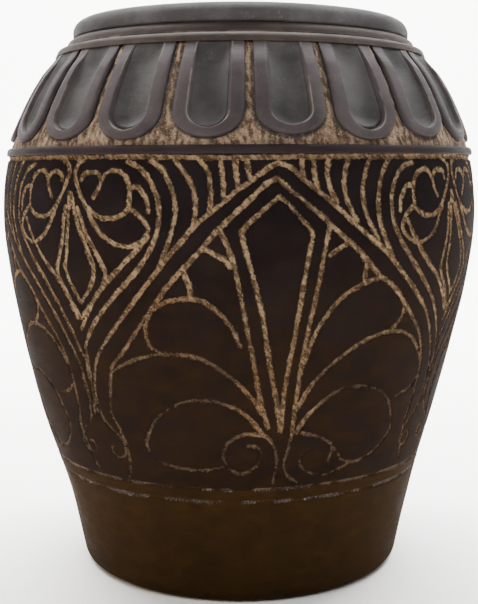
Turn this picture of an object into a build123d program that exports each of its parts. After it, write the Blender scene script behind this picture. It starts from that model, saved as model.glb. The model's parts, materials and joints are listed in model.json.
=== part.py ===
from build123d import *
import os

# A hand-built pot of black clay, in millimetres. The turning axis is Z and the pot stands
# on the plane z = 0. A ring of wall is drawn as its section at the right of the axis, as
# points (radius, height), and revolved. The front of the pot faces -Y.

os.makedirs("parts", exist_ok=True)

# Driving dimensions
pot_height = 270.0
base_radius = 80.6
base_edge_radius = 6.7
floor_thickness = 9.0
floor_seam_radius = 71.0
floor_bevel = 3.8
inside_corner_radius = 10.0
corner_coil_lean = 2.2
corner_coil_overlap = 3.0

# The outside and the inside of the wall, from the foot up to the neck
outside_outline = [
    (base_radius, 0),
    (89.2, 40),
    (100.7, 80),
    (110.3, 120),
    (115.8, 150),
    (118.0, 178),
    (114.3, 206.2),
    (104.9, 230),
    (91.3, 252.3),
]
inside_outline = [
    (floor_seam_radius + floor_bevel, floor_thickness),
    (82.0, 40),
    (93.2, 80),
    (103.0, 120),
    (108.6, 150),
    (110.7, 178),
    (106.6, 206.2),
    (96.3, 230),
    (80.9, 252.3),
]

# Bevelled seams between the rings of the wall: where the seam meets the outside
foot_seam = (94.6, 57.9)
belt_seam = (114.3, 206.2)
seam_bevel = 0.7
far_radius = 140.0
near_radius = 50.0
below_the_foot = -90.0

# Two turned lines around the lower wall: one at the foot seam and one just below it
lower_line_height = 51.4
lower_line_radius = 92.6
line_depth = 0.9
line_width = 1.8

# Neck and rim
neck_bottom = 252.3
neck_top = 261.0
neck_outside_radius = 91.2
neck_top_radius = 81.0
mouth_radius = 69.5
throat_bottom = 258.0
neck_underside_middle = (74.5, 254.2)
rim_radius = 83.3
rim_top_rounding = 6.4
rim_inner_rounding = 5.0
rim_under_rounding = 2.0
bead_seam_height = 256.2
lower_bead_crest = (89.9, 255.2)
upper_bead_crest = (84.6, 259.6)

# Belt: a half-round strip over the seam at the widest part of the shoulder
belt_height = 3.7
belt_relief = 1.3

# Tongues: strips bent to a U around a gouged flute, standing on the shoulder
tongue_count = 20
tongue_pitch = 360 / tongue_count
first_tongue_angle = -7.0
tongue_relief = 1.6
tongue_top_relief = 0.6
tongue_plane_radius = 103.8
tongue_plane_height = 232.0
tongue_outer_half_width = 15.2
tongue_outer_top_half_width = 12.3
tongue_inner_half_width = 8.7
tongue_inner_top_half_width = 7.2
tongue_bend_level = -10.2
tongue_outer_bottom = -22.8
tongue_inner_bottom = -18.2
tongue_top = 30.0
tongue_cut_reach = 20.0
shoulder_normal = Vector(0, -0.876, 0.482)
flute_radius = 17.5
flute_depth = 2.1
flute_start = (109.1, 220.6)
flute_middle = (102.5, 234.2)
flute_end = (87.3, 256.0)


def seam_points(radius, height, bevel):
    """Two points of a seam that rises inwards, far outside and far inside the wall."""
    return [
        (far_radius, height + bevel * (radius - far_radius)),
        (near_radius, height + bevel * (radius - near_radius)),
    ]


def wall_ring(low_seam, low_bevel, high_seam, high_bevel):
    """The part of the wall between two seams, as a ring."""
    low_far, low_near = seam_points(*low_seam, low_bevel)
    high_far, high_near = seam_points(*high_seam, high_bevel)
    with BuildPart() as ring:
        with BuildSketch(Plane.XZ):
            with BuildLine():
                outside = Spline(*outside_outline)
                inside = Spline(*inside_outline)
                Polyline(outside @ 0, (floor_seam_radius, 0), inside @ 0)
                Line(inside @ 1, outside @ 1)
            make_face()
            with BuildLine():
                Polyline(low_far, low_near, high_near, high_far, close=True)
            make_face(mode=Mode.INTERSECT)
        revolve(axis=Axis.Z)
    return ring


def turned_line(height, radius):
    """A ring of triangular section that cuts one turned line."""
    with BuildPart() as cutter:
        with BuildSketch(Plane.XZ):
            with BuildLine():
                Polyline(
                    (radius + line_width, height - line_width),
                    (radius - line_depth, height),
                    (radius + line_width, height + line_width),
                    close=True,
                )
            make_face()
        revolve(axis=Axis.Z)
    return cutter


def save(piece, name):
    """Label one finished piece and write it."""
    piece.label = name
    export_step(piece, f"parts/{name}.step")


# Floor: a disc with a bevelled edge, inside the foot of the wall
with BuildPart() as base_disc:
    with BuildSketch(Plane.XZ):
        with BuildLine():
            Polyline(
                (0, 0),
                (floor_seam_radius, 0),
                (floor_seam_radius + floor_bevel, floor_thickness),
                (0, floor_thickness),
                close=True,
            )
        make_face()
    revolve(axis=Axis.Z)
save(base_disc.part, "base_disc")

# Foot: the lowest ring, pressed on around the floor, with two turned lines near its top
foot_ring = wall_ring((base_radius, below_the_foot), 0, foot_seam, seam_bevel)
with BuildPart() as foot_wall:
    add(foot_ring.part)
    bottom_edges = foot_wall.edges().filter_by(GeomType.CIRCLE).group_by(Axis.Z)[0]
    fillet(bottom_edges.sort_by(SortBy.RADIUS)[-1], radius=base_edge_radius)
    add(turned_line(lower_line_height, lower_line_radius).part, mode=Mode.SUBTRACT)
    add(turned_line(*reversed(foot_seam)).part, mode=Mode.SUBTRACT)
save(foot_wall.part, "foot_wall")

# Corner coil: a coil smoothed into the inside corner between the floor and the foot
corner_radius = floor_seam_radius + floor_bevel
coil_start = (corner_radius - inside_corner_radius, floor_thickness)
coil_end = (corner_radius + corner_coil_lean, floor_thickness + inside_corner_radius)
with BuildPart() as corner_coil:
    with BuildSketch(Plane.XZ):
        with BuildLine():
            TangentArc(coil_start, coil_end, tangent=(1, 0))
            Polyline(
                coil_end,
                (coil_end[0] + corner_coil_overlap, coil_end[1]),
                (coil_end[0] + corner_coil_overlap, floor_thickness),
                coil_start,
            )
        make_face()
    revolve(axis=Axis.Z)
    add(foot_wall.part, mode=Mode.SUBTRACT)
save(corner_coil.part, "corner_coil")

# Frieze wall: the tall middle ring, from the upper turned line to the belt
middle_ring = wall_ring(foot_seam, seam_bevel, belt_seam, seam_bevel)
with BuildPart() as frieze_wall:
    add(middle_ring.part)
    add(turned_line(*reversed(foot_seam)).part, mode=Mode.SUBTRACT)
save(frieze_wall.part, "frieze_wall")

# One flute: a round gouge that follows the curve of the shoulder, at the front of the pot
with BuildPart() as flute:
    lift = flute_radius - flute_depth
    slope = shoulder_normal * lift
    with BuildLine():
        path = ThreePointArc(
            Vector(0, -flute_start[0], flute_start[1]) + slope,
            Vector(0, -flute_middle[0], flute_middle[1]) + slope,
            Vector(0, -flute_end[0], flute_end[1]) + slope,
        )
    with BuildSketch(Plane(origin=path @ 0, z_dir=path % 0)):
        Circle(flute_radius)
    sweep()
    with Locations(path @ 0):
        Sphere(flute_radius)

# Shoulder: the ring above the belt, with a flute under each tongue
upper_ring = wall_ring(belt_seam, seam_bevel, (base_radius, pot_height), 0)
with BuildPart() as shoulder_wall:
    add(upper_ring.part)
    with PolarLocations(0, tongue_count, start_angle=first_tongue_angle):
        add(flute.part, mode=Mode.SUBTRACT)
save(shoulder_wall.part, "shoulder_wall")

# Belt: a strip of half-round section, luted over the seam between frieze and shoulder
with BuildPart() as belt_band:
    with BuildSketch(Plane.XZ):
        with Locations((belt_seam[0], belt_seam[1])):
            Ellipse(belt_relief, belt_height / 2)
        with BuildLine():
            outside = Spline(*outside_outline)
            Polyline(outside @ 1, (0, neck_bottom), (0, 0), outside @ 0)
        make_face(mode=Mode.SUBTRACT)
    revolve(axis=Axis.Z)
save(belt_band.part, "belt_band")

# Neck: a short ring that leans in, with its inner edge turned to a round throat
with BuildPart() as neck_wall:
    with BuildSketch(Plane.XZ):
        with BuildLine():
            Polyline(
                (inside_outline[-1][0], neck_bottom),
                (neck_outside_radius, neck_bottom),
                (neck_top_radius, neck_top),
                (mouth_radius, neck_top),
                (mouth_radius, throat_bottom),
            )
            ThreePointArc(
                (mouth_radius, throat_bottom),
                neck_underside_middle,
                (inside_outline[-1][0], neck_bottom),
            )
        make_face()
    revolve(axis=Axis.Z)
save(neck_wall.part, "neck_wall")

# Two beads: strips luted around the outside of the neck, one above the other
neck_lean = (neck_outside_radius - neck_top_radius) / (neck_top - neck_bottom)
bead_split = (neck_outside_radius - neck_lean * (bead_seam_height - neck_bottom), bead_seam_height)
lower_bead_ends = [(neck_outside_radius, neck_bottom), bead_split]
upper_bead_ends = [bead_split, (neck_top_radius, neck_top)]
with BuildPart() as collar_bead_lower:
    with BuildSketch(Plane.XZ):
        with BuildLine():
            Line(*lower_bead_ends)
            ThreePointArc(lower_bead_ends[0], lower_bead_crest, lower_bead_ends[1])
        make_face()
    revolve(axis=Axis.Z)
save(collar_bead_lower.part, "collar_bead_lower")

with BuildPart() as collar_bead_upper:
    with BuildSketch(Plane.XZ):
        with BuildLine():
            Line(*upper_bead_ends)
            ThreePointArc(upper_bead_ends[0], upper_bead_crest, upper_bead_ends[1])
        make_face()
    revolve(axis=Axis.Z)
save(collar_bead_upper.part, "collar_bead_upper")

# Rim: a thick rolled coil on top of the neck
with BuildPart() as rim_lip:
    with BuildSketch(Plane.XZ) as rim_section:
        with Locations((mouth_radius, neck_top)):
            Rectangle(rim_radius - mouth_radius, pot_height - neck_top, align=(Align.MIN, Align.MIN))
        outer_corners = rim_section.vertices().group_by(Axis.X)[-1]
        fillet(outer_corners.sort_by(Axis.Y)[-1], radius=rim_top_rounding)
        outer_corners = rim_section.vertices().group_by(Axis.X)[-1]
        fillet(outer_corners.sort_by(Axis.Y)[0], radius=rim_under_rounding)
        inner_corners = rim_section.vertices().group_by(Axis.X)[0]
        fillet(inner_corners.sort_by(Axis.Y)[-1], radius=rim_inner_rounding)
    revolve(axis=Axis.Z)
save(rim_lip.part, "rim_lip")

# One tongue: a strip bent to a U, cut from a skin that lies on the shoulder
raised_outline = [(radius + tongue_relief, height) for radius, height in outside_outline[:-1]]
raised_outline.append((outside_outline[-1][0] + tongue_top_relief, outside_outline[-1][1]))
with BuildPart() as tongue:
    with BuildSketch(Plane.XZ):
        with BuildLine():
            outside = Spline(*outside_outline)
            raised = Spline(*raised_outline)
            Line(outside @ 0, raised @ 0)
            Line(outside @ 1, raised @ 1)
        make_face()
    revolve(axis=Axis.Z)
    tongue_plane = Plane(
        origin=(0, -tongue_plane_radius, tongue_plane_height),
        x_dir=(1, 0, 0),
        z_dir=shoulder_normal,
    )
    with BuildSketch(tongue_plane):
        with BuildLine():
            Polyline(
                (-tongue_outer_half_width, tongue_bend_level),
                (-tongue_outer_top_half_width, tongue_top),
                (tongue_outer_top_half_width, tongue_top),
                (tongue_outer_half_width, tongue_bend_level),
            )
            ThreePointArc(
                (-tongue_outer_half_width, tongue_bend_level),
                (0, tongue_outer_bottom),
                (tongue_outer_half_width, tongue_bend_level),
            )
        make_face()
        with BuildLine():
            Polyline(
                (-tongue_inner_half_width, tongue_bend_level),
                (-tongue_inner_top_half_width, tongue_top + 1),
                (tongue_inner_top_half_width, tongue_top + 1),
                (tongue_inner_half_width, tongue_bend_level),
            )
            ThreePointArc(
                (-tongue_inner_half_width, tongue_bend_level),
                (0, tongue_inner_bottom),
                (tongue_inner_half_width, tongue_bend_level),
            )
        make_face(mode=Mode.SUBTRACT)
    extrude(amount=tongue_cut_reach, both=True, mode=Mode.INTERSECT)

# The tongues stand side by side around the shoulder, counted anticlockwise from above
for number in range(tongue_count):
    angle = first_tongue_angle + number * tongue_pitch
    save(tongue.part.rotate(Axis.Z, angle), f"shoulder_tongue_{number + 1:02d}")
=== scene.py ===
import json
import math

import bpy
import numpy as np
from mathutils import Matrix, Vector

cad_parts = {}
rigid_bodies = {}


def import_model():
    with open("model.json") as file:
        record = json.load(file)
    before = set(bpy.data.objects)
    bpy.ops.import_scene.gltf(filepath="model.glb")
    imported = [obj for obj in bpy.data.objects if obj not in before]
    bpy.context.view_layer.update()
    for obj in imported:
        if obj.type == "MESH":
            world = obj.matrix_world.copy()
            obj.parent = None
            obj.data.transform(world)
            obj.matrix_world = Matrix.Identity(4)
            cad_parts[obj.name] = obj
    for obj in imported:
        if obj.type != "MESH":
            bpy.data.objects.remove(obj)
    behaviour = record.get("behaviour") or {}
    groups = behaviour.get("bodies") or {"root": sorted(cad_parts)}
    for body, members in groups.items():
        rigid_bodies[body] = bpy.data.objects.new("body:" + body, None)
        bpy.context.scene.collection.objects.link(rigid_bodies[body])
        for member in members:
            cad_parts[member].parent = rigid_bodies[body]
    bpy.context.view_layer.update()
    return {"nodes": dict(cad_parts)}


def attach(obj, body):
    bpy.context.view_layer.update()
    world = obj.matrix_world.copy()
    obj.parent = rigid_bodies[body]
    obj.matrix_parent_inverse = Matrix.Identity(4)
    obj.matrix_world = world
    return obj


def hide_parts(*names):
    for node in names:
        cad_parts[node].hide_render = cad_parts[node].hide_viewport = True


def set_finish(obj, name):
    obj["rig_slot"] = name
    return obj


# A carved pot of black clay. Lengths below are millimetres and angles are degrees from the
# front of the pot (-Y), positive towards +X; meshes are made in metres.

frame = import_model()

MM = 0.001
FRONT_ARCH = 8.0
ARCHES = 4
TONGUES = 20
FIRST_TONGUE = -7.0
TONGUE_PITCH = 360 / TONGUES

# The outside and inside of the wall: (radius, height)
OUTSIDE = [(80.6, 0), (89.2, 40), (100.7, 80), (110.3, 120), (115.8, 150), (118.0, 178), (114.3, 206.2),
           (104.9, 230), (91.3, 252.3)]
INSIDE = [(74.8, 9), (82.0, 40), (93.2, 80), (103.0, 120), (108.6, 150), (110.7, 178), (106.6, 206.2),
          (96.3, 230), (80.9, 252.3)]
FOOT_SEAM = 57.9
LOWER_LINE = 51.6
BORDER_LINE = 203.1
BELT_SEAM = 206.2
NECK_BOTTOM = 252.3
NECK_TOP = 261.0
SEAM_RISE = 5.0

FLOOR_SEAM = 71.0
FLOOR_TOP = 9.0
BASE_ROUNDING = 6.7
CHIP = (-11.0, 3.0)

RIM_TILT = 0.4
CUT_HALF_WIDTH = 1.12
CUT_DEPTH = 0.9
FLUTE_DEPTH = 2.1

RIM_HEIGHT = 9.0
RIM_RADIUS = 83.3
MOUTH_RADIUS = 69.5
NECK_LOW_RADIUS = 91.2
NECK_HIGH_RADIUS = 81.0
THROAT_BOTTOM = 258.0
BEAD_SEAM = 256.2
LOWER_BEAD = [(91.9, 251.8), (90.4, 254.9), (86.75, BEAD_SEAM)]
UPPER_BEAD = [(86.75, BEAD_SEAM), (85.1, 259.3), (82.2, NECK_TOP)]
BELT_HEIGHT = 3.7
BELT_RELIEF = 1.3


# ---------------------------------------------------------------- curves and noise

def smooth_line(points, step, mm_per_unit=(1.0, 1.0)):
    """A smooth curve through the points, sampled about every step."""
    points = np.array(points, float)
    scaled = points * np.array(mm_per_unit)
    reach = np.concatenate([[0], np.cumsum(np.linalg.norm(np.diff(scaled, axis=0), axis=1))])
    slopes = np.gradient(points, reach, axis=0)
    at = np.linspace(0, reach[-1], max(3, int(reach[-1] / step) + 1))
    i = np.clip(np.searchsorted(reach, at) - 1, 0, len(reach) - 2)
    h = (reach[i + 1] - reach[i])[:, None]
    s = ((at - reach[i])[:, None]) / h
    return ((1 + 2 * s) * (1 - s) ** 2 * points[i] + s * (1 - s) ** 2 * h * slopes[i]
            + s * s * (3 - 2 * s) * points[i + 1] + s * s * (s - 1) * h * slopes[i + 1])


OUTSIDE_LINE = smooth_line(OUTSIDE, 0.5)
INSIDE_LINE = smooth_line(INSIDE, 0.5)


def outside_radius(height):
    return np.interp(height, OUTSIDE_LINE[:, 1], OUTSIDE_LINE[:, 0])


def inside_radius(height):
    return np.interp(height, INSIDE_LINE[:, 1], INSIDE_LINE[:, 0])


def smooth_step(low, high, value):
    s = np.clip((value - low) / (high - low), 0, 1)
    return s * s * (3 - 2 * s)


def noise(angle, height, angle_cells, cell_height, seed):
    """Smooth noise from -1 to 1 over angle (degrees, wraps) and height (mm)."""
    angle, height = np.broadcast_arrays(np.asarray(angle, float), np.asarray(height, float))
    rows = 1024
    lattice = np.random.default_rng(seed).random((rows, angle_cells)) * 2 - 1
    x = (angle % 360) / 360 * angle_cells
    y = height / cell_height + 300
    x0, y0 = np.floor(x).astype(int), np.floor(y).astype(int)
    fx, fy = x - x0, y - y0
    fx, fy = fx * fx * (3 - 2 * fx), fy * fy * (3 - 2 * fy)
    a = lattice[y0 % rows, x0 % angle_cells]
    b = lattice[y0 % rows, (x0 + 1) % angle_cells]
    c = lattice[(y0 + 1) % rows, x0 % angle_cells]
    d = lattice[(y0 + 1) % rows, (x0 + 1) % angle_cells]
    return (a * (1 - fx) + b * fx) * (1 - fy) + (c * (1 - fx) + d * fx) * fy


def lean(height):
    """How far the hand-built form stands off its axis towards +X, in mm."""
    return (0.9 * smooth_step(185, 262, height) - 1.3 * smooth_step(28, 72, height)
            + 1.3 * smooth_step(78, 168, height))


def form(angle, height):
    """Slow unevenness of the hand-built wall, in mm, never outwards."""
    return 0.25 * (noise(angle, height, 7, 60, 1) - 1) + 0.1 * (noise(angle, height, 40, 9, 2) - 1)


# ---------------------------------------------------------------- meshes

def surface_points(angle, radius, height):
    """Points in metres for angles from the front, radii and heights in mm.

    The top of the pot dips by up to twice RIM_TILT towards +X."""
    turn = np.radians(angle)
    dip = RIM_TILT * (1 + np.sin(turn)) * smooth_step(235, 262, height)
    return np.stack([(radius * np.sin(turn) + lean(height)) * MM, -radius * np.cos(turn) * MM,
                     (height - dip) * MM], axis=-1)


def grid_object(name, points, corner_uv, attributes, closed_columns=True):
    """A tube-like closed mesh from points [row, column], where rows run around the section.

    corner_uv is [face row, face column, 4, 2]. Open columns get an end face at each end."""
    rows, columns = points.shape[:2]
    face_columns = columns if closed_columns else columns - 1
    r, c = np.meshgrid(np.arange(rows), np.arange(face_columns), indexing="ij")
    r2, c2 = (r + 1) % rows, (c + 1) % columns
    quads = np.stack([r * columns + c, r * columns + c2, r2 * columns + c2, r2 * columns + c], -1)
    loops, uvs = [quads.reshape(-1)], [corner_uv.reshape(-1, 2)]
    starts = np.arange(0, quads.size, 4)
    if not closed_columns:
        first_end = np.arange(rows) * columns
        last_end = first_end[::-1] + columns - 1
        loops += [first_end, last_end]
        uvs += [np.full((2 * rows, 2), 0.998)]
        starts = np.concatenate([starts, [quads.size, quads.size + rows]])
    loops, uvs = np.concatenate(loops), np.concatenate(uvs)
    mesh = bpy.data.meshes.new(name)
    mesh.vertices.add(rows * columns)
    mesh.vertices.foreach_set("co", points.reshape(-1).astype(np.float32))
    mesh.loops.add(len(loops))
    mesh.loops.foreach_set("vertex_index", loops.astype(np.int32))
    mesh.polygons.add(len(starts))
    mesh.polygons.foreach_set("loop_start", starts.astype(np.int32))
    mesh.polygons.foreach_set("use_smooth", np.ones(len(starts), bool))
    layer = mesh.uv_layers.new(name="OFBake")
    layer.data.foreach_set("uv", uvs.reshape(-1).astype(np.float32))
    for label, values in attributes.items():
        attribute = mesh.attributes.new(label, "FLOAT", "POINT")
        attribute.data.foreach_set("value", values.reshape(-1).astype(np.float32))
    mesh.update()
    mesh.validate()
    piece = bpy.data.objects.new(name + "_clay", mesh)
    bpy.context.scene.collection.objects.link(piece)
    return piece


def section_reach(radii, heights):
    """Length along a closed section up to the start and the end of each row of faces, as shares."""
    steps = np.hypot(np.diff(np.append(radii, radii[0])), np.diff(np.append(heights, heights[0])))
    reach = np.concatenate([[0], np.cumsum(steps)])
    return reach / reach[-1]


def stacked_uv(starts, ends, columns, bands, low, high):
    """UV of face rows, with the turn cut into bands stacked from v low to v high."""
    column = np.arange(columns)
    per_band = columns // bands
    band = column // per_band
    pad = 0.004
    tall = (high - low) / bands
    uv = np.zeros((len(starts), columns, 4, 2))
    for corner, (end, right) in enumerate([(0, 0), (0, 1), (1, 1), (1, 0)]):
        across = (column % per_band + right) / per_band
        up = (ends if end else starts)[:, None]
        uv[:, :, corner, 0] = pad + (1 - 2 * pad) * across
        uv[:, :, corner, 1] = low + pad + (tall - 2 * pad) * up + tall * band[None, :]
    return uv


# ---------------------------------------------------------------- the carved frieze

# Lines of the front arch and its palmette: (angle from the front, height)
ARCH_LINES = [
    # arch, outer and inner line, left then right
    [(8, 200.8), (5, 197.5), (2.5, 193.5), (0, 190.2), (-3, 185), (-6, 180), (-9, 175), (-12, 168),
     (-15.5, 160), (-20.5, 148), (-24, 140), (-28, 131), (-31, 124.5), (-33.4, 119), (-35, 113.5),
     (-36.2, 106), (-36.8, 98), (-36, 90)],
    [(7.6, 194.5), (5, 191.5), (2.5, 186.5), (0, 182), (-4.5, 173), (-9.5, 161.5), (-14, 152),
     (-18.6, 140.5), (-22.5, 130.5), (-27.5, 118.5), (-29.8, 114), (-31, 108), (-31.9, 100),
     (-32.5, 91), (-31, 84), (-29.6, 76), (-29.6, 68), (-31, 60)],
    [(8, 200.8), (10.5, 198.8), (13, 194.2), (19, 184.5), (25, 174), (31, 165), (36.7, 155),
     (43, 144), (48.7, 133.5), (51, 128), (53, 122), (54.6, 117), (55.8, 111), (56.5, 104),
     (56.8, 96), (56, 89)],
    [(7.6, 194.5), (10, 190.3), (15, 182), (20.5, 172), (26, 163), (31.5, 152.5), (34, 149.5),
     (38.7, 141.5), (42.5, 134), (47, 125.3), (49, 119.5), (50.4, 114), (51.2, 108), (51.5, 95),
     (50.8, 88), (50.2, 81), (51, 74), (53, 62)],
    # hatching between the belt and the arch, left
    [(1.6, 202.5), (1.8, 198), (2.3, 194)],
    [(-0.8, 202.5), (-0.6, 197), (-0.2, 190.5)],
    [(-3.8, 202.5), (-3.2, 194), (-3, 185.5)],
    [(-8.2, 202), (-6.6, 198.5), (-5.8, 193), (-5.6, 187), (-5.9, 180.5)],
    [(-13.2, 202), (-11.2, 197), (-9.6, 192), (-8.8, 187), (-8.7, 181), (-9.2, 175.5)],
    [(-18.3, 202), (-15.9, 198.5), (-14.2, 193), (-13.1, 187), (-12.8, 181), (-13.4, 174),
     (-14.6, 167), (-16, 160)],
    [(-23.5, 201.3), (-20.8, 198.8), (-18.6, 194.5), (-17, 189), (-16.2, 182), (-16.3, 176),
     (-17.2, 169.5), (-18.8, 163.5), (-21, 157.5), (-27.5, 144.5), (-34.5, 130), (-37.8, 120)],
    [(-18.6, 171), (-20.2, 167), (-22.5, 162.5), (-28, 152.5), (-33.5, 141), (-37.8, 129)],
    # the same, right
    [(12.8, 202.5), (12.8, 198), (13, 194.5)],
    [(15.3, 202.5), (15.3, 197), (16, 190)],
    [(18.6, 202.5), (18.1, 197), (18.6, 190.5), (20, 184.5)],
    [(23.2, 202.5), (22.1, 197.5), (21.8, 191), (22.5, 184.5), (24.6, 176.5)],
    [(28.2, 202.5), (26.9, 197), (26, 190.5), (26.2, 184), (27.3, 177), (29.8, 168.5)],
    [(33.4, 202.5), (31.3, 197), (30.1, 190.5), (29.7, 183), (30.4, 174.5), (32.3, 166.5), (34, 161)],
    [(40, 200.8), (37, 198.8), (35, 195), (33.6, 190), (33.2, 183), (34, 175), (36, 168), (39, 161),
     (45, 149.5), (51, 137.5), (55.5, 125), (57.6, 117)],
    [(37.7, 176.5), (39.3, 171), (41.5, 165.5), (44.5, 159.5), (51, 149), (57.5, 134)],
    # middle leaf: tip, then each side with its second line
    [(0.4, 172.8), (2, 176.5), (4, 180), (8, 187.3)],
    [(8, 187.3), (11.5, 180.2), (13.3, 176.2), (14.9, 172)],
    [(0.4, 172.8), (0.9, 168), (2.8, 154.5), (4.8, 139.5), (7, 117), (9, 101), (10.5, 86)],
    [(14.9, 172), (14.6, 168), (13.6, 154.5), (12.8, 140), (11.8, 122), (10.9, 104), (10.6, 86)],
    [(-3.9, 173.5), (-1.8, 164), (0, 149), (1.7, 133.5), (3.4, 118), (5.4, 100), (7.4, 88)],
    [(18.4, 174.5), (17.5, 163), (16.5, 149), (15.3, 133.5), (14.4, 118), (13.9, 101), (13.4, 83),
     (12.8, 76), (12.1, 70.5), (12.5, 66.5), (14, 63), (16, 60.5)],
    # small lobes under the arch
    [(-6.8, 166), (-5.2, 163.8), (-3.2, 161.6), (-1.6, 158.2)],
    [(-11.6, 157), (-10.9, 154), (-10.2, 150), (-10.2, 145.5)],
    [(18.6, 162.5), (20.2, 164.8), (22.2, 167)],
    [(26.2, 162), (27.3, 158.5), (27.2, 154), (27.2, 150.5)],
    # middle lobes
    [(0.6, 124), (-1.7, 133.5), (-3.8, 138.5), (-6.2, 142.6), (-9, 144.7), (-13, 144.5), (-16, 142.8),
     (-18.3, 140), (-19.7, 136), (-20.5, 131.5), (-20.3, 127), (-19.4, 123.3), (-17.6, 121.2)],
    [(15, 117), (17, 130), (20.5, 141), (23, 145.8), (26, 149.2), (29, 151.2), (31.7, 152)],
    [(38.9, 141.5), (39.6, 138), (39.3, 133.5), (38.2, 130.8), (36.8, 129)],
    # lower lobes
    [(6.2, 94), (2, 104.5), (-3, 113), (-6, 117), (-9.5, 119.8), (-13.5, 120.8), (-18, 120.2),
     (-22, 118.4), (-28.5, 113), (-30.8, 110)],
    [(14.3, 96), (17.2, 106.3), (22, 115.8), (25, 120), (28, 123.6), (31.5, 126.3), (35, 127.5),
     (39, 127.2), (42.5, 125.3), (45.5, 122), (48, 117.5), (50.3, 112)],
    [(51, 103), (49.3, 99.8), (46.5, 97.6), (43.3, 96)],
    # bottom lobes
    [(9.5, 77.5), (8, 82), (6, 85.5), (2.8, 92.5), (0, 96.5), (-3.5, 99.3), (-8, 100.6), (-12, 99.7),
     (-15.5, 97), (-18.5, 93), (-20.8, 88), (-22.4, 83), (-23.3, 78), (-22.6, 74), (-20.8, 71),
     (-17, 68.5), (-12, 67.5), (-7, 67.8), (-3.5, 70)],
    [(14.6, 84.5), (15.6, 88.5), (19.6, 97), (22.5, 101.3), (26, 103.8), (30, 104.2), (34, 102.6),
     (38, 99.3), (41, 94.3), (43, 88), (44, 82), (43, 77), (40.5, 72.5), (36.5, 68.5), (32, 67.3),
     (29.2, 68.8), (27, 72.5), (25, 76.7), (22.5, 80.3), (19.5, 82.8), (16.2, 84.3)],
    # scrolls at the foot of the stem
    [(5.2, 84.6), (2, 84.8), (-0.8, 83), (-2.7, 79.5), (-3.4, 75.5), (-3, 71.5), (-1.5, 68), (1, 66),
     (3.8, 68), (5.6, 71.5), (6, 75), (5, 78.6), (3, 79.5)],
    [(20.3, 75), (18.6, 76.3), (17, 75), (16.3, 71.5), (17.2, 67.5), (19.5, 64.8), (22.5, 63.3),
     (25.5, 63.6), (28.5, 65.3), (31.5, 67.2)],
    [(24.6, 78), (24.9, 73.5), (24.3, 68.5)],
    [(9.6, 77), (10.1, 72), (9.9, 66.5), (9.4, 61)],
]

# One half of the hanging drop between two arches: (angle from the drop's middle, height)
DROP_LINES = [
    [(3, 202), (1.4, 200.6), (0.9, 197.5), (1.5, 193), (2.6, 188.5), (4.2, 183.5), (5.6, 178.5),
     (7.4, 173.2), (9.6, 169.4), (12.2, 166.9), (15, 166.4), (17.4, 168.4)],
    [(6.2, 186.5), (7.4, 190), (8.2, 194), (9.4, 197), (11.4, 197.6), (13.2, 196.2), (14.3, 193.4),
     (14.8, 190), (14.9, 186), (14.6, 182), (13, 179.3), (10.8, 178), (8.4, 178.2), (6.4, 179.8),
     (5, 182)],
    [(7.9, 194.5), (7, 196.6), (5.2, 197.4), (3.4, 196.2), (2.9, 194)],
    [(14.6, 190.5), (16.6, 190.8), (18.1, 187.5), (18.9, 184), (19.1, 180.5)],
    [(14.8, 182.6), (16.6, 180), (18.1, 177), (19, 173.5), (18.4, 170.4), (17.2, 168)],
    [(0.1, 120), (0.3, 110), (0, 100), (0.6, 90)],
    [(1.8, 89), (3.6, 84.5), (6, 81), (7.6, 76.5), (7, 71.5), (4.8, 69.5), (3, 72), (3.6, 75.5),
     (5.2, 76)],
]
# The leaf inside the drop, which stands a few degrees to one side
LEAF_ASIDE = 1.4
DROP_LEAF_LINES = [
    [(0.2, 188), (0.9, 180.5), (1.6, 174), (2.5, 168), (3.3, 162), (4.1, 157), (3.8, 152.5),
     (2.8, 148.5), (1.4, 144.5), (0, 141)],
    [(1.7, 182.5), (2.5, 177.5), (3.4, 171), (4.9, 164.5), (6.2, 159), (7.1, 154.5), (6.6, 151),
     (4.8, 146), (2.6, 140), (0, 134)],
]


def right_half_width(height):
    """Degrees from the middle of the front arch to the next drop, where the carver ran wide."""
    return 45.5 + 4.5 * (1 - smooth_step(130, 190, height))


LEFT_HALF_WIDTH = 46.0


def place_line(points, repeat):
    """A line of the front arch, moved to another arch and fitted to its width."""
    angle, height = np.array(points, float).T
    wide = right_half_width(height)
    narrow = (360 - LEFT_HALF_WIDTH - wide) / (2 * (ARCHES - 1))
    offset = angle - FRONT_ARCH
    if repeat == 0:
        return np.stack([angle, height], 1)
    share = np.where(offset < 0, offset / LEFT_HALF_WIDTH, offset / wide)
    middle = FRONT_ARCH + wide + narrow * (2 * repeat - 1)
    wander = 0.5 * noise(angle + 90 * repeat, height, 30, 25, 11)
    return np.stack([middle + share * narrow + wander, height + wander], 1)


def place_drop(points, side, drop, aside):
    """One half of a drop, beside arch number drop on its left."""
    offset, height = np.array(points, float).T
    aside = aside * smooth_step(190, 160, height) * smooth_step(128, 150, height)
    edge = np.stack([np.full_like(height, FRONT_ARCH - LEFT_HALF_WIDTH), height], 1)
    middle = place_line(edge, drop)[:, 0] if drop else edge[:, 0]
    wander = 0.4 * noise(offset * side + 90 * drop, height, 30, 25, 12)
    return np.stack([middle + 0.4 + aside + side * offset + wander, height + wander], 1)


def cut_lines():
    """Every incised line of the frieze, as sampled curves (angle, height)."""
    step, mm_per_degree = 0.35, 2.0
    scale = (mm_per_degree, 1)
    lines = []
    for repeat in range(ARCHES):
        for points in ARCH_LINES:
            lines.append(smooth_line(place_line(points, repeat), step, scale))
        for points in DROP_LINES + DROP_LEAF_LINES:
            aside = LEAF_ASIDE if points in DROP_LEAF_LINES else 0
            for side in (-1, 1):
                lines.append(smooth_line(place_drop(points, side, repeat, aside), step, scale))
    return lines, step


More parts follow.
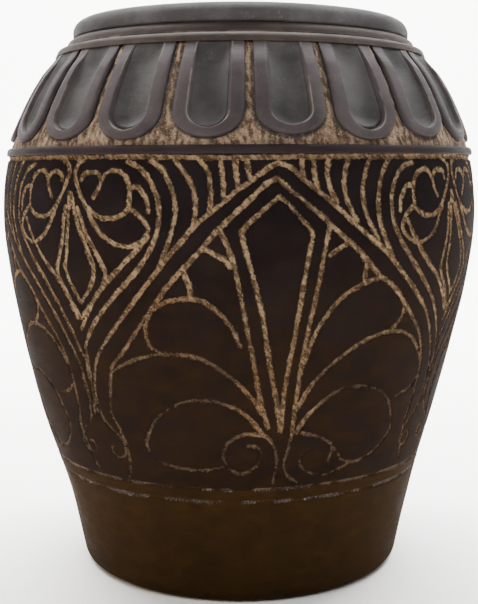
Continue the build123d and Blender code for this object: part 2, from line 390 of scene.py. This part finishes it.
def distance_to_lines(lines, step, angles, heights):
    """For a regular grid, the distance to the nearest line and how far along it that is, in mm."""
    reach, chunk, far_away = 3.0, 16, 99.0
    turn_step = angles[1] - angles[0]
    distance = np.full((len(heights), len(angles)), far_away)
    along = np.zeros_like(distance)
    for number, line in enumerate(lines):
        for start in range(0, len(line) - 1, chunk):
            part = line[start:start + chunk + 1]
            per_degree = math.radians(1) * outside_radius(part[:, 1].mean())
            low, high = np.searchsorted(heights, (part[:, 1].min() - reach, part[:, 1].max() + reach))
            first = math.floor((part[:, 0].min() - reach / per_degree - angles[0]) / turn_step)
            last = math.ceil((part[:, 0].max() + reach / per_degree - angles[0]) / turn_step)
            columns = np.arange(first, last + 1)
            across = (angles[0] + columns * turn_step)[None, :, None] - part[:, 0]
            up = heights[low:high, None, None] - part[:, 1]
            gap = np.hypot(across * per_degree, up)
            nearest = gap.argmin(2)
            gap = gap.min(2)
            where = np.ix_(np.arange(low, high), columns % len(angles))
            better = gap < distance[where]
            distance[where] = np.where(better, gap, distance[where])
            along[where] = np.where(better, (start + nearest) * step + 41 * number, along[where])
    return distance, along


# ---------------------------------------------------------------- rings of wall

COLUMNS = 1440
FIRST_ANGLE = -90.0
ANGLES = FIRST_ANGLE + np.arange(COLUMNS) * 360 / COLUMNS
INSIDE_SHARE = 0.14


def profile_normals(radii, heights):
    """Outward normals (radius, height) along an open profile that runs upwards."""
    along_r, along_z = np.gradient(radii), np.gradient(heights)
    length = np.hypot(along_r, along_z)
    return along_z / length, -along_r / length


def hand_marks(angle, height):
    """Unevenness left by fingers on the inside, in mm."""
    return 0.5 * noise(angle, height, 9, 14, 3) + 0.25 * noise(angle, height, 30, 5, 4)


def show(piece, slot, node):
    """Hang a finished piece on the pot, with its slot and the node of the frame it stands for."""
    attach(piece, "root")
    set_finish(piece, slot)
    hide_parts(node)


def wall_ring(name, slot, outer_line, inner_line, relief, attributes):
    """A closed ring of wall. relief moves the outer points outwards, in mm, per row and column."""
    outer = len(outer_line)
    radii, heights = np.concatenate([outer_line, inner_line]).T
    angle, radius = np.meshgrid(ANGLES, radii)
    height = np.repeat(heights[:, None], COLUMNS, 1)
    normal_r, normal_z = profile_normals(radii[:outer], heights[:outer])
    move = relief + form(angle[:outer], height[:outer])
    radius[:outer] += move * normal_r[:, None]
    height[:outer] = np.maximum(height[:outer] + move * normal_z[:, None], 0)
    radius[outer:] += hand_marks(angle[outer:], height[outer:])
    whole = {label: np.zeros_like(radius) for label in attributes}
    for label, values in attributes.items():
        whole[label][:outer] = values
    reach = section_reach(radii, heights)
    outer_reach, inner_reach = reach[:outer] / reach[outer - 1], (reach[outer - 1:] - reach[outer - 1])
    inner_reach = inner_reach / inner_reach[-1]
    uv = np.concatenate([
        stacked_uv(outer_reach[:-1], outer_reach[1:], COLUMNS, 2, 0, 1 - INSIDE_SHARE),
        stacked_uv(inner_reach[:-1], inner_reach[1:], COLUMNS, 1, 1 - INSIDE_SHARE, 1),
    ])
    piece = grid_object(name, surface_points(angle, radius, height), uv, whole)
    show(piece, slot, name)


def outside_rows(low, high, step):
    heights = np.linspace(low, high, int(round((high - low) / step)) + 1)
    return np.stack([outside_radius(heights), heights], 1)


def inside_rows(high, low, step):
    heights = np.linspace(high, low, int(round((high - low) / step)) + 1)
    return np.stack([inside_radius(heights), heights], 1)


def groove(distance, half_width, depth):
    """Relief of a round-bottomed cut with a faint burr, from the distance to its middle."""
    share = distance / half_width
    burr = 0.10 * np.exp(-((distance - half_width - 0.35) / 0.35) ** 2)
    return burr - depth * np.clip(1 - share * share, 0, 1)


def turned_line(angle, height, at, seed):
    """Relief and tan share of one unsteady turned line around the wall."""
    wander = at + 0.35 * noise(angle, 0, 12, 10, seed)
    pressure = 0.75 + 0.35 * noise(angle, 0, 45, 10, seed + 1)
    distance = np.abs(height - wander)
    scraped = np.clip(0.62 + 0.9 * noise(angle, height, 130, 3, seed + 2), 0, 1)
    return groove(distance, 1.15, 0.7 * pressure), smooth_step(1.2, 0.5, distance) * scraped


def make_foot_wall():
    slope = math.atan2(OUTSIDE[1][0] - OUTSIDE[0][0], OUTSIDE[1][1] - OUTSIDE[0][1])
    tangent = BASE_ROUNDING / math.tan(math.radians(45) + slope / 2)
    middle_r, middle_z = OUTSIDE[0][0] - tangent, BASE_ROUNDING
    turn = np.linspace(-math.pi / 2, -slope, 12)
    arc = np.stack([middle_r + BASE_ROUNDING * np.cos(turn), middle_z + BASE_ROUNDING * np.sin(turn)], 1)
    flat = np.stack([np.linspace(FLOOR_SEAM, middle_r, 4)[:-1], np.zeros(3)], 1)
    wall = outside_rows(arc[-1, 1] + 0.8, FOOT_SEAM, 0.8)
    outer_line = np.concatenate([flat, arc, wall])
    inner_line = inside_rows(FOOT_SEAM + SEAM_RISE, FLOOR_TOP, 4)
    angle, height = np.meshgrid(ANGLES, outer_line[:, 1])
    upper, upper_tan = turned_line(angle, height, FOOT_SEAM, 21)
    lower, lower_tan = turned_line(angle, height, LOWER_LINE, 25)
    chip = np.hypot((angle - CHIP[0]) * 1.4, height - CHIP[1])
    knock = smooth_step(2.4, 0.8, chip + 0.5 * noise(angle, height, 300, 1.2, 30))
    relief = upper + lower - 0.7 * knock
    wall_ring("foot_wall", "foot_clay", outer_line, inner_line, relief,
              {"cut": np.maximum(upper_tan, lower_tan)})


def cut_strength(angle, height):
    """How firmly the carver cut: hard in the upper half and along the stems, lightly elsewhere."""
    strength = smooth_step(96, 158, height)
    for repeat in range(ARCHES):
        stem = place_line([(9.5, 120)], repeat)[0, 0]
        away = np.abs((angle - stem + 180) % 360 - 180)
        strength = np.maximum(strength, smooth_step(13, 5, away) * smooth_step(70, 92, height))
        leaf_top = np.hypot((away + 1) / 8, (height - 181) / 10)
        strength = strength * (1 - 0.45 * smooth_step(1.15, 0.8, leaf_top))
    return 0.32 + 0.68 * strength


def make_frieze_wall():
    outer_line = outside_rows(FOOT_SEAM, BELT_SEAM, 0.5)
    inner_line = inside_rows(BELT_SEAM - SEAM_RISE * 0.2, FOOT_SEAM + SEAM_RISE, 4)
    heights = outer_line[:, 1]
    angle, height = np.meshgrid(ANGLES, heights)
    lines, step = cut_lines()
    distance, along = distance_to_lines(lines, step, ANGLES, heights)
    border = np.abs(height - BORDER_LINE - 0.4 * noise(angle, 0, 14, 10, 40))
    along = np.where(border < distance, angle * 2, along)
    distance = np.minimum(distance, border)
    strength = cut_strength(angle, height) + 0.16 * noise(angle, height, 36, 12, 42)
    strength = np.clip(strength + 0.12 * noise(along, 0, 90, 10, 45), 0.2, 1.15)
    hatch = noise(angle + 0.4 * height, height, 640, 1.9, 41)
    ragged = 0.24 * noise(angle, height, 560, 0.8, 43) + 0.18 * noise(angle, height, 220, 2.2, 46)
    half_width = CUT_HALF_WIDTH * (0.66 + 0.42 * strength)
    cut = groove(distance + ragged, half_width, CUT_DEPTH * (0.45 + 0.45 * strength + 0.2 * hatch))
    skin = smooth_step(half_width * 1.12, half_width * 0.6, distance + 1.2 * ragged + 0.18 * hatch)
    bottom, bottom_tan = turned_line(angle, height, FOOT_SEAM, 21)
    wall_ring("frieze_wall", "carved_clay", outer_line, inner_line, np.minimum(cut, bottom),
              {"cut": np.maximum(skin * (0.45 + 0.55 * strength), bottom_tan), "hatch": 0.5 + 0.5 * hatch,
               "faint": 1 - strength})


# ---------------------------------------------------------------- the shoulder

FLUTE_HALF_ANGLE = 4.25
FLUTE_BOTTOM = 215.4
TONGUE_HALF_ANGLE = 8.05
TONGUE_BOTTOM = 211.2
TONGUE_BEND = 222.5


def tongue_offset(angle):
    """Degrees from the middle of the nearest tongue."""
    return (angle - FIRST_TONGUE + TONGUE_PITCH / 2) % TONGUE_PITCH - TONGUE_PITCH / 2


def make_shoulder_wall():
    outer_line = outside_rows(BELT_SEAM, NECK_BOTTOM, 0.6)
    inner_line = inside_rows(NECK_BOTTOM, BELT_SEAM - SEAM_RISE * 0.2, 4)
    angle, height = np.meshgrid(ANGLES, outer_line[:, 1])
    across = tongue_offset(angle) / FLUTE_HALF_ANGLE
    down = np.clip(TONGUE_BEND - height, 0, None) / (TONGUE_BEND - FLUTE_BOTTOM)
    share = np.hypot(across, down)
    flute = -FLUTE_DEPTH * np.clip(1 - share ** 2, 0, 1) ** 0.85 * smooth_step(254, 243, height)
    ground = smooth_step(0.98, 1.08, share)
    scratch = (0.65 * noise(angle + 0.15 * height, height, 700, 2.2, 50)
               + 0.5 * noise(angle - 0.1 * height, height, 420, 3.5, 52))
    scratches = 0.22 * scratch + 0.12 * noise(angle, height, 260, 4, 51) - 0.4
    near_tongue = np.hypot(tongue_offset(angle) / TONGUE_HALF_ANGLE,
                           np.clip(TONGUE_BEND - height, 0, None) / (TONGUE_BEND - TONGUE_BOTTOM))
    undercut = -0.45 * smooth_step(1.10, 1.01, near_tongue)
    relief = flute + ground * (scratches + undercut)
    # Painted shadow: the scraped ground right beside each tongue is drawn darker, with less pale clay
    # showing and a greyer mix.
    shade = ground * smooth_step(1.10, 1.02, near_tongue)
    wall_ring("shoulder_wall", "scraped_clay", outer_line, inner_line, relief,
              {"cut": ground * (0.95 - 0.35 * shade), "hatch": 0.5 + 0.5 * scratch, "faint": shade * 0.4})


# Section of a tongue: share of the way from its outer to its inner edge, and height above the wall
TONGUE_SECTION = [(0, -0.9), (0, 0.0), (0.005, 0.55), (0.03, 1.0), (0.08, 1.3), (0.17, 1.5),
                  (0.35, 1.6), (0.55, 1.63), (0.72, 1.6), (0.81, 1.56), (0.845, 1.5), (0.865, 1.38),
                  (0.89, 1.1), (0.94, 0.55), (0.99, 0.0), (1.03, -0.5), (1.0, -1.3), (0.5, -1.5)]


def make_tongue(number):
    """One U-shaped strip around a flute."""
    first_seed, leg_steps, bend_steps, strip_width = 100, 44, 64, 7
    middle = FIRST_TONGUE + TONGUE_PITCH * number
    random = np.random.default_rng(first_seed + number)
    wide, low, turn = 1 + 0.02 * random.normal(), 0.5 * random.normal(), 0.25 * random.normal()
    leg = np.linspace(NECK_BOTTOM + 0.4, TONGUE_BEND, leg_steps)[:-1]
    bend = np.linspace(math.pi, 2 * math.pi, bend_steps)
    cosine = np.concatenate([-np.ones(len(leg)), np.cos(bend), np.ones(len(leg))])
    sine = np.concatenate([np.zeros(len(leg)), np.sin(bend), np.zeros(len(leg))])
    level = np.concatenate([leg, np.full(len(bend), TONGUE_BEND), leg[::-1]])
    share, lift = np.array(TONGUE_SECTION).T
    share, lift = share[:, None], lift[:, None]
    outer_drop, inner_drop = TONGUE_BEND - TONGUE_BOTTOM + low, TONGUE_BEND - FLUTE_BOTTOM + low
    half = (TONGUE_HALF_ANGLE * (1 - share) + FLUTE_HALF_ANGLE * share) * wide
    drop = outer_drop * (1 - share) + inner_drop * share
    angle = middle + turn + half * cosine
    height = level + drop * sine
    wobble = 1 + 0.05 * noise(angle, height, 90, 9, 60)
    settle = 1 - 0.9 * smooth_step(241, NECK_BOTTOM, height)  # the tops run out under the bead
    raised = np.where(lift > 0, lift * wobble * settle, lift)
    line_r, line_z = OUTSIDE_LINE[:, 0], OUTSIDE_LINE[:, 1]
    normal_r, normal_z = profile_normals(line_r, line_z)
    move = raised + form(angle, height)
    radius = outside_radius(height) + move * np.interp(height, line_z, normal_r)
    height = height + move * np.interp(height, line_z, normal_z) * smooth_step(252, 248, height)
    reach = section_reach(share[:, 0] * strip_width, lift[:, 0])
    columns = angle.shape[1]
    uv = stacked_uv(reach[:-1], reach[1:], columns, 1, 0, 1)[:, :columns - 1]
    name = f"shoulder_tongue_{number + 1:02d}"
    # The attribute given here paints a highlight along the inner edge of the strip's crest.
    piece = grid_object(name, surface_points(angle, radius, height), uv,
                        {"wear": np.exp(-((share - 0.85) / 0.03) ** 2) + 0 * radius},
                        closed_columns=False)
    show(piece, "burnished_clay", name)


# ---------------------------------------------------------------- turned rings

RING_BANDS = 4


def turned_ring(name, slot, section, wobble, seed):
    """A ring revolved from a closed section of (radius, height) points, slightly uneven."""
    section = np.array(section, float)
    angle, radius = np.meshgrid(ANGLES, section[:, 0])
    height = np.repeat(section[:, 1:], COLUMNS, 1)
    radius = radius + wobble * (noise(angle, height, 11, 30, seed) - 1)
    radius += 0.35 * wobble * noise(angle, height, 60, 3, seed + 1)
    reach = section_reach(section[:, 0], section[:, 1])
    rubbing = 0.65 + 0.5 * noise(angle, height, 160, 2, seed + 2)
    wear = np.exp(-((height - BEAD_SEAM) / 0.55) ** 2) * rubbing
    uv = stacked_uv(reach[:-1], reach[1:], COLUMNS, RING_BANDS, 0, 1)
    piece = grid_object(name, surface_points(angle, radius, height), uv, {"wear": wear})
    show(piece, slot, name)


def arc_points(middle, radius, first, last, count):
    turn = np.radians(np.linspace(first, last, count))
    return [(middle[0] + radius * math.cos(t), middle[1] + radius * math.sin(t)) for t in turn]


def make_rim():
    top = NECK_TOP + RIM_HEIGHT
    outer, under, inner = 6.4, 1.3, 5.0
    section = arc_points((RIM_RADIUS - under, NECK_TOP + under), under, -90, 0, 6)
    section += arc_points((RIM_RADIUS - outer, top - outer), outer, 0, 90, 16)
    section += arc_points((MOUTH_RADIUS + inner, top - inner), inner, 90, 180, 12)
    section += [(MOUTH_RADIUS, NECK_TOP + 2), (MOUTH_RADIUS, NECK_TOP), (MOUTH_RADIUS + 6, NECK_TOP)]
    turned_ring("rim_lip", "burnished_clay", section, 0.22, 70)


def bead_section(low, crest, high):
    """A strip with a rounded face through three points, its back sunk a little into the neck."""
    line = smooth_line([low, crest, high], 0.35)
    face = [tuple(point) for point in line]
    return face + [(high[0] - 0.8, high[1] - 0.6), (low[0] - 1.2, low[1] + 0.3)]


def make_neck_and_beads():
    neck = [(NECK_LOW_RADIUS, NECK_BOTTOM), (NECK_HIGH_RADIUS, NECK_TOP), (MOUTH_RADIUS, NECK_TOP),
            (MOUTH_RADIUS, THROAT_BOTTOM), (70.6, 256.4), (72.9, 255.0), (76.7, 253.3), (80.9, 252.3)]
    turned_ring("neck_wall", "burnished_clay", neck, 0.2, 74)
    turned_ring("collar_bead_lower", "bead_clay", bead_section(*LOWER_BEAD), 0.12, 78)
    turned_ring("collar_bead_upper", "bead_clay", bead_section(*UPPER_BEAD), 0.12, 82)


def make_belt():
    half = BELT_HEIGHT / 2
    turn = np.radians(np.linspace(-90, 90, 14))
    heights = BELT_SEAM + half * np.sin(turn)
    proud = BELT_RELIEF * np.sqrt(np.clip(np.cos(turn), 0, 1))
    face = list(zip(outside_radius(heights) + proud, heights))
    back = [(outside_radius(BELT_SEAM + half) - 1.2, BELT_SEAM + half - 0.2),
            (outside_radius(BELT_SEAM - half) - 1.2, BELT_SEAM - half + 0.2)]
    turned_ring("belt_band", "burnished_clay", face + back, 0.15, 86)


# ---------------------------------------------------------------- materials

class Clay:
    """Builds one clay material node by node."""

    def __init__(self, name):
        self.material = bpy.data.materials.new(name)
        self.material.use_nodes = True
        self.nodes = self.material.node_tree.nodes
        self.links = self.material.node_tree.links
        self.shader = self.nodes["Principled BSDF"]
        self.place = self.nodes.new("ShaderNodeTexCoord").outputs["Object"]

    def set(self, node, socket, value):
        if isinstance(value, bpy.types.NodeSocket):
            self.links.new(value, node.inputs[socket])
        else:
            node.inputs[socket].default_value = value

    def noise(self, size, detail=3.0, roughness=0.55, stretch=(1, 1, 1)):
        """Noise with features of about size mm, stretched by factors along X, Y and Z."""
        mapping = self.nodes.new("ShaderNodeMapping")
        mapping.inputs["Scale"].default_value = [1 / (size * MM * s) for s in stretch]
        self.links.new(self.place, mapping.inputs["Vector"])
        node = self.nodes.new("ShaderNodeTexNoise")
        self.links.new(mapping.outputs["Vector"], node.inputs["Vector"])
        node.inputs["Scale"].default_value = 1.0
        node.inputs["Detail"].default_value = detail
        node.inputs["Roughness"].default_value = roughness
        return node.outputs["Fac"]

    def map(self, value, low, high, to_low=0.0, to_high=1.0):
        """Take values from low..high to to_low..to_high, with soft ends."""
        node = self.nodes.new("ShaderNodeMapRange")
        node.interpolation_type = "SMOOTHSTEP"
        for socket, number in zip(("Value", "From Min", "From Max", "To Min", "To Max"),
                                  (value, low, high, to_low, to_high)):
            self.set(node, socket, number)
        return node.outputs["Result"]

    def math(self, operation, first, second):
        node = self.nodes.new("ShaderNodeMath")
        node.operation = operation
        self.set(node, 0, first)
        self.set(node, 1, second)
        return node.outputs[0]

    def mix(self, share, first, second):
        node = self.nodes.new("ShaderNodeMix")
        node.data_type = "RGBA"
        for index, value in ((0, share), (6, first), (7, second)):
            if isinstance(value, tuple):
                value = (*value, 1.0)
            self.set(node, index, value)
        return node.outputs[2]

    def mix_value(self, share, first, second):
        node = self.nodes.new("ShaderNodeMix")
        for index, value in ((0, share), (2, first), (3, second)):
            self.set(node, index, value)
        return node.outputs[0]

    def attribute(self, name):
        node = self.nodes.new("ShaderNodeAttribute")
        node.attribute_name = name
        return node.outputs["Fac"]

    def height(self):
        """Height above the ground in mm."""
        node = self.nodes.new("ShaderNodeSeparateXYZ")
        self.links.new(self.place, node.inputs[0])
        return self.math("MULTIPLY", node.outputs["Z"], 1000.0)

    def finish(self, colour, roughness, bump, bump_mm, specular, tint):
        node = self.nodes.new("ShaderNodeBump")
        node.inputs["Strength"].default_value = 1.0
        node.inputs["Distance"].default_value = bump_mm * MM
        self.links.new(bump, node.inputs["Height"])
        self.links.new(node.outputs["Normal"], self.shader.inputs["Normal"])
        self.links.new(colour, self.shader.inputs["Base Color"])
        self.links.new(roughness, self.shader.inputs["Roughness"])
        self.shader.inputs["Specular IOR Level"].default_value = specular
        self.shader.inputs["Specular Tint"].default_value = (*tint, 1)
        return self.material


def black_clay(clay, dark, light, warm, rough_low, rough_high):
    """Smoke-fired clay: a near-black skin, polished in patches and a little dusty, with a painted warm
    floor bounce that browns it towards the bottom.
    """
    clouds = clay.noise(24, 4, 0.6)
    patches = clay.noise(11, 4, 0.65, (1, 1, 0.6))
    strokes = clay.noise(5, 3, 0.6, (1.4, 1.4, 0.14))
    grain = clay.noise(0.9, 4, 0.7)
    colour = clay.mix(clay.map(clouds, 0.36, 0.66), dark, light)
    # Painted warm bounce light from the floor: the clay turns browner towards the bottom, broken up by the
    # clay's own patches.
    warm_floor_bounce = clay.map(clay.height(), 200, 95, 0.22, 1.0)
    warmth = clay.math("MULTIPLY", clay.map(patches, 0.36, 0.66, 0.45, 1), warm_floor_bounce)
    colour = clay.mix(warmth, colour, warm)
    dust = clay.map(clay.math("MULTIPLY", grain, patches), 0.28, 0.44, 0, 0.3)
    colour = clay.mix(dust, colour, tuple(2.2 * c for c in light))
    rough = clay.math("ADD", clay.map(clouds, 0.3, 0.7, rough_low, rough_high),
                      clay.map(strokes, 0.35, 0.65, -0.06, 0.08))
    rough = clay.math("ADD", rough, clay.map(dust, 0, 0.3, 0, 0.14))
    bump = clay.math("ADD", clay.math("MULTIPLY", strokes, 0.25), clay.math("MULTIPLY", grain, 0.4))
    return colour, rough, bump


def burnished(name, dark, light, warm, rough_low, rough_high, specular, tint):
    """Black clay that turns paler where its attribute says: worn pale clay at the seam between the beads,
    and a painted highlight along each tongue's inner crest edge.
    """
    clay = Clay(name)
    colour, rough, bump = black_clay(clay, dark, light, warm, rough_low, rough_high)
    # Broken up in patches: worn clay on the beads, a painted highlight on the tongues.
    rub_and_glint_patches = clay.map(clay.noise(16, 3, 0.6), 0.47, 0.62, 0, 0.8)
    colour = clay.mix(clay.math("MULTIPLY", clay.attribute("wear"), rub_and_glint_patches), colour, (0.16, 0.145, 0.125))
    return clay.finish(colour, rough, bump, 0.18, specular, tint)


def carved(name, dark, light, warm, tan_low, tan_high, rough_low, rough_high, specular, tint):
    """Black clay whose attribute cut shows the pale, scraped clay below the skin.

    The attribute hatch darkens it in strokes, and a third attribute makes it greyer and broken: the clay's
    own look along lightly cut lines, and painted shade on the shoulder ground beside the tongues."""
    clay = Clay(name)
    colour, rough, bump = black_clay(clay, dark, light, warm, rough_low, rough_high)
    cut = clay.attribute("cut")
    hatch = clay.attribute("hatch")
    crumbs = clay.noise(0.8, 4, 0.8)
    drag = clay.noise(3.2, 3, 0.6)
    places = clay.noise(45, 2, 0.5)
    # Greyer, broken pale clay: real along lightly cut lines, painted shade on the shoulder ground beside
    # the tongues.
    faint = clay.attribute("faint")
    skips = clay.math("MULTIPLY", faint, clay.map(clay.noise(5, 3, 0.6), 0.46, 0.62, 0, 0.6))
    edge = clay.math("ADD", cut, clay.map(crumbs, 0.3, 0.7, -0.30, 0.24))
    edge = clay.math("SUBTRACT", edge, skips)
    mask = clay.map(edge, 0.18, 0.85)
    height = clay.height()
    warmth = clay.math("ADD", clay.map(height, 60, 200, 0.1, 0.85), clay.map(places, 0.3, 0.7, -0.35, 0.35))
    pale = clay.mix(clay.map(warmth, 0, 1), tan_low, tan_high)
    pale = clay.mix(clay.map(hatch, 0.25, 0.7, 0.85, 0), pale, tuple(0.2 * c for c in tan_low))
    pale = clay.mix(clay.map(drag, 0.52, 0.7, 0, 0.6), pale, tuple(0.3 * c for c in tan_low))
    pale = clay.mix(clay.map(crumbs, 0.36, 0.5, 0.8, 0), pale, tuple(0.25 * c for c in tan_low))
    pale = clay.mix(clay.map(crumbs, 0.54, 0.68, 0, 0.7), pale, tuple(1.7 * c for c in tan_high))
    pale = clay.mix(clay.map(faint, 0.1, 0.75, 0, 0.72), pale, (0.074, 0.052, 0.037))
    colour = clay.mix(mask, colour, pale)
    rough = clay.mix_value(mask, rough, 0.85)
    bump = clay.math("ADD", clay.math("MULTIPLY", bump, clay.map(mask, 0, 1, 1, 0.2)),
                     clay.math("MULTIPLY", clay.math("MULTIPLY", crumbs, mask), 1.6))
    return clay.finish(colour, rough, bump, 0.18, specular, tint)


# ---------------------------------------------------------------- build the pot

make_foot_wall()
make_frieze_wall()
make_shoulder_wall()
for tongue in range(TONGUES):
    make_tongue(tongue)
make_belt()
make_neck_and_beads()
make_rim()

COOL, WARM = (1.0, 0.94, 0.96), (1.0, 0.76, 0.55)
# All these are one black clay: the lip, neck, shoulder, tongue and bead copies are drawn lighter grey than
# the frieze's as painted light and sheen from above, and the third colour of each is where the painted warm
# floor bounce leads.
SHINE = burnished("burnished_clay", (0.0215, 0.0220, 0.0220), (0.047, 0.0465, 0.0460),
                  (0.068, 0.053, 0.053), 0.60, 0.78, 0.08, COOL)
TONGUE = burnished("tongue_clay", (0.0240, 0.0215, 0.0225), (0.047, 0.0415, 0.043),
                   (0.080, 0.056, 0.057), 0.58, 0.76, 0.08, COOL)
RIM = burnished("rim_clay", (0.034, 0.0345, 0.0360), (0.065, 0.064, 0.067), (0.096, 0.076, 0.076),
                0.62, 0.80, 0.06, COOL)
BELT = burnished("belt_clay", (0.0115, 0.0082, 0.0090), (0.020, 0.0140, 0.0155), (0.028, 0.0165, 0.0165),
                 0.60, 0.76, 0.06, COOL)
SCRAPED = carved("scraped_clay", (0.0215, 0.0235, 0.0235), (0.049, 0.049, 0.0485),
                 (0.064, 0.050, 0.050), (0.135, 0.085, 0.056), (0.245, 0.175, 0.122), 0.58, 0.76, 0.08,
                 COOL)
CARVED = carved("carved_clay", (0.0054, 0.0045, 0.0056), (0.0096, 0.0076, 0.0090),
                (0.0165, 0.0088, 0.0042), (0.135, 0.078, 0.040), (0.245, 0.168, 0.098), 0.70, 0.84, 0.012,
                WARM)
BEADS = burnished("bead_clay", (0.023, 0.0178, 0.0172), (0.043, 0.034, 0.0305), (0.060, 0.043, 0.034),
                  0.64, 0.78, 0.08, COOL)
FOOT = carved("foot_clay", (0.0105, 0.0064, 0.0038), (0.0185, 0.0113, 0.0055), (0.0230, 0.0117, 0.0042),
              (0.12, 0.095, 0.085), (0.20, 0.165, 0.15), 0.64, 0.78, 0.012, WARM)
BY_SLOT = {"burnished_clay": SHINE, "scraped_clay": SCRAPED, "carved_clay": CARVED, "bead_clay": BEADS,
           "foot_clay": FOOT}
BY_NAME = {"shoulder_tongue": TONGUE, "rim_lip": RIM, "belt_band": BELT}
for piece in list(bpy.context.scene.objects):
    if "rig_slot" in piece:
        material = BY_SLOT[piece["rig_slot"]]
        for start, special in BY_NAME.items():
            if piece.name.startswith(start):
                material = special
        piece.data.materials.append(material)
for node in ("base_disc", "corner_coil"):
    piece = frame["nodes"][node]
    piece.data.materials.clear()
    piece.data.materials.append(FOOT)


# ---------------------------------------------------------------- floor, light and camera

def plain_material(name, colour, roughness):
    material = bpy.data.materials.new(name)
    material.use_nodes = True
    shader = material.node_tree.nodes["Principled BSDF"]
    shader.inputs["Base Color"].default_value = (*colour, 1)
    shader.inputs["Roughness"].default_value = roughness
    return material


def make_floor():
    half, back, height, bend = 3.0, 1.6, 2.5, 0.8
    profile = [(-half, 0.0), (back - bend, 0.0)]
    for step in range(1, 16):
        turn = math.pi / 2 * step / 16
        profile.append((back - bend + bend * math.sin(turn), bend - bend * math.cos(turn)))
    profile.append((back, height))
    points = [(x, y, z) for x in (-half, half) for y, z in profile]
    count = len(profile)
    faces = [(i, i + count, i + count + 1, i + 1) for i in range(count - 1)]
    mesh = bpy.data.meshes.new("floor")
    mesh.from_pydata(points, [], faces)
    mesh.polygons.foreach_set("use_smooth", [True] * len(faces))
    mesh.materials.append(plain_material("pale_floor", (0.90, 0.895, 0.88), 0.8))
    floor = bpy.data.objects.new("floor", mesh)
    bpy.context.scene.collection.objects.link(floor)


def aim(item, place, target):
    item.location = place
    direction = Vector(target) - Vector(place)
    item.rotation_euler = direction.to_track_quat("-Z", "Y").to_euler()


def soft_light(name, place, target, size, power, colour=(1, 1, 1)):
    data = bpy.data.lights.new(name, "AREA")
    data.shape = "RECTANGLE"
    data.size, data.size_y = size
    data.energy = power
    data.color = colour
    light = bpy.data.objects.new(name, data)
    bpy.context.scene.collection.objects.link(light)
    aim(light, place, target)


make_floor()
MIDDLE = (0, 0, 0.13)
soft_light("overhead", (0.0, -0.75, 0.98), (0, 0, 0.2), (1.0, 0.7), 11.5, (1.0, 0.985, 0.97))
soft_light("left_window", (-1.1, -0.5, 0.5), MIDDLE, (0.6, 0.8), 5.5, (1.0, 0.80, 0.55))
soft_light("right_fill", (1.2, -0.9, 0.7), MIDDLE, (0.7, 0.9), 1.8, (1.0, 0.90, 0.78))
soft_light("backdrop", (0, 0.55, 1.5), (0, 1.5, 0.1), (2.4, 0.5), 300)

world = bpy.data.worlds.new("studio")
world.use_nodes = True
world.node_tree.nodes["Background"].inputs["Color"].default_value = (1.0, 0.96, 0.9, 1)
world.node_tree.nodes["Background"].inputs["Strength"].default_value = 0.10
bpy.context.scene.world = world

camera_tilt_down, camera_roll = 7.216, 0.19
camera_data = bpy.data.cameras.new("camera")
camera_data.lens = 63.62
camera = bpy.data.objects.new("camera", camera_data)
camera.location = (0, -0.5484, 0.1990)
camera.rotation_euler = (math.radians(90 - camera_tilt_down), math.radians(camera_roll), 0)
bpy.context.scene.collection.objects.link(camera)
bpy.context.scene.camera = camera
